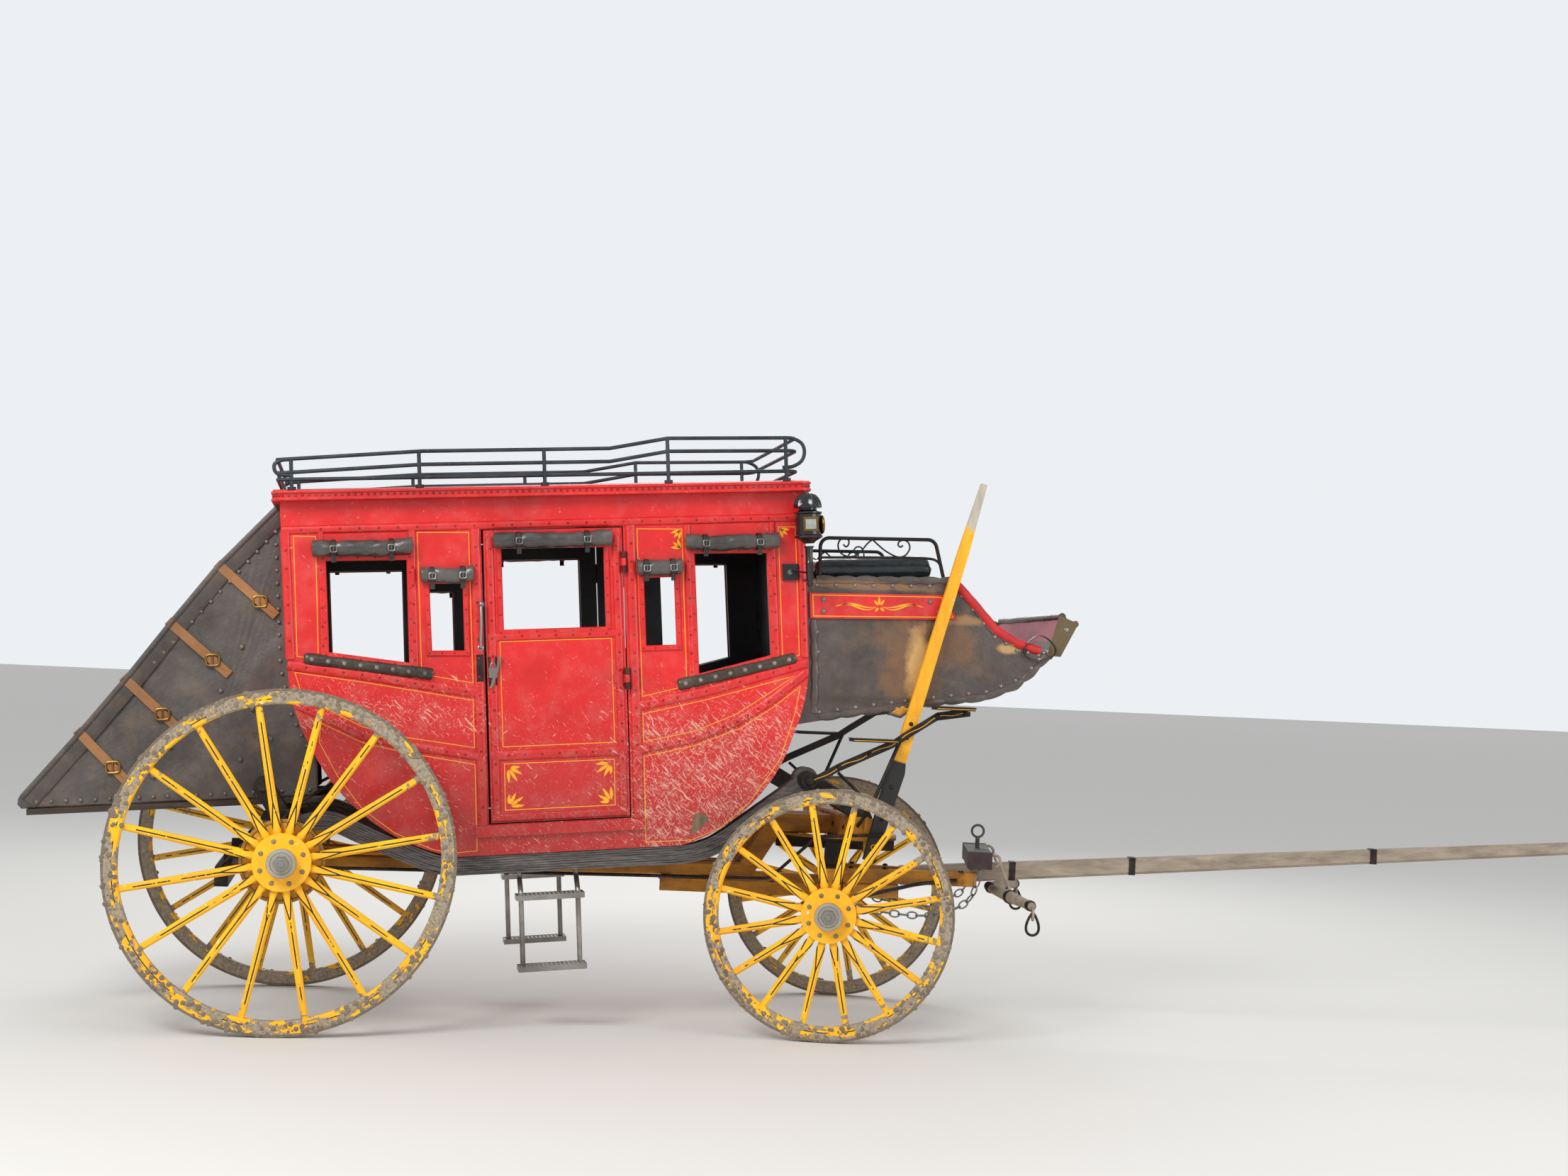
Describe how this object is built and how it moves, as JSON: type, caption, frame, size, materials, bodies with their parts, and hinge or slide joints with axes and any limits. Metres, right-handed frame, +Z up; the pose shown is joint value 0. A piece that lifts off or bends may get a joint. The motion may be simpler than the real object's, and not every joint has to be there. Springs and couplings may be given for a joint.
{
  "type": "stagecoach",
  "caption": "Horse-drawn coach: egg-shaped cabin slung on leather straps, wooden wheels, steerable fore-carriage with pole, driver's box, roof rack and leather rear boot.",
  "frame": {"origin": "on the ground at the middle of the plan, pole included", "axes": "+X forward along the coach, +Y to its left, +Z up"},
  "size_m": [7.6033, 1.8725, 2.865],
  "materials": {
    "red_panel": "red coach paint over timber, worn satin",
    "yellow_running_gear": "orange-yellow paint over timber, chipped and muddy",
    "wheel_paint": "yellow paint with black lining",
    "wheel_hub": "yellow paint over cast hub",
    "tyre_steel": "bare steel, rusty and muddy",
    "black_iron": "black paint over forged iron",
    "rack_steel": "dark grey paint over steel tube",
    "step_steel": "worn bare steel",
    "strap_leather": "dry grey-black leather plies",
    "boot_leather": "weathered black-brown leather",
    "curtain_leather": "rolled black leather",
    "seat_leather": "glossy black buttoned leather",
    "inside_timber": "dark stained board",
    "pole_ash": "weathered bare ash",
    "evener_oak": "dark weathered oak",
    "ferrule_iron": "forged iron",
    "lamp_black": "black japanned sheet metal"
  },
  "bodies": {
    "coach": {"rear_axle": "black_iron", "rear_bolster": "yellow_running_gear", "perches": "yellow_running_gear", "front_transom": "yellow_running_gear", "standards": "black_iron", "thoroughbraces": "strap_leather", "brake_rigging": "black_iron", "step_irons": "black_iron", "cabin_back": "red_panel", "cabin_floor": "red_panel", "cabin_front": "red_panel", "cabin_side_left": "red_panel", "cabin_side_right": "red_panel", "door_hinges": "black_iron", "curtains": "curtain_leather", "door_sills": "red_panel", "roof": "red_panel", "roof_rack": "rack_steel", "benches": "inside_timber", "bench_cushions": "seat_leather", "rear_boot_platform": "inside_timber", "rear_boot_cover": "boot_leather", "driver_box_sides": "boot_leather", "driver_box_floor": "boot_leather", "driver_seat_box": "inside_timber", "driver_cushion": "seat_leather", "box_side_boards": "red_panel", "seat_rails": "black_iron", "lamps": "lamp_black", "side_steps": "step_steel"},
    "left_door": {"door_left": "red_panel", "door_curtain_left": "curtain_leather"},
    "right_door": {"door_right": "red_panel", "door_curtain_right": "curtain_leather"},
    "brake_lever": {"brake_lever": "yellow_running_gear"},
    "fore_carriage": {"front_axle": "black_iron", "axle_bed": "yellow_running_gear", "turning_circle": "black_iron", "hounds": "yellow_running_gear", "pole": "pole_ash", "pole_ferrule": "ferrule_iron", "evener": "evener_oak", "singletrees": "pole_ash"},
    "rear_right_wheel": {"rear_right_tyre": "tyre_steel", "rear_right_spokes": "wheel_paint", "rear_right_hub": "wheel_hub"},
    "rear_left_wheel": {"rear_left_tyre": "tyre_steel", "rear_left_spokes": "wheel_paint", "rear_left_hub": "wheel_hub"},
    "front_right_wheel": {"front_right_tyre": "tyre_steel", "front_right_spokes": "wheel_paint", "front_right_hub": "wheel_hub"},
    "front_left_wheel": {"front_left_tyre": "tyre_steel", "front_left_spokes": "wheel_paint", "front_left_hub": "wheel_hub"}
  },
  "joints": [
    {"name": "steering", "type": "hinge", "parent": "coach", "child": "fore_carriage", "pos_m": [0.107, 0, 0.92], "axis": [0, 0, 1], "range_deg": [-4.1, 31.9]},
    {"name": "left_door_hinge", "type": "hinge", "parent": "coach", "child": "left_door", "pos_m": [-1.08999, 0.619, 1.92213], "axis": [0.0802, 0, -0.9968], "range_deg": [0, 95]},
    {"name": "right_door_hinge", "type": "hinge", "parent": "coach", "child": "right_door", "pos_m": [-1.08999, -0.619, 1.92213], "axis": [-0.0802, 0, 0.9968], "range_deg": [0, 95]},
    {"name": "brake_lever_pivot", "type": "hinge", "parent": "coach", "child": "brake_lever", "pos_m": [0.159, -0.593, 0.905], "axis": [0, 1, 0], "range_deg": [-8, 14]},
    {"name": "rear_right_wheel_turn", "type": "hinge", "parent": "coach", "child": "rear_right_wheel", "pos_m": [-2.603, -0.7875, 0.775], "axis": [0, 1, 0], "continuous": true},
    {"name": "rear_left_wheel_turn", "type": "hinge", "parent": "coach", "child": "rear_left_wheel", "pos_m": [-2.603, 0.7875, 0.775], "axis": [0, 1, 0], "continuous": true},
    {"name": "front_right_wheel_turn", "type": "hinge", "parent": "fore_carriage", "child": "front_right_wheel", "pos_m": [-0.08218, -0.76444, 0.592], "axis": [0.2402, 0.9707, 0], "continuous": true},
    {"name": "front_left_wheel_turn", "type": "hinge", "parent": "fore_carriage", "child": "front_left_wheel", "pos_m": [0.29618, 0.76444, 0.592], "axis": [0.2402, 0.9707, 0], "continuous": true}
  ]
}
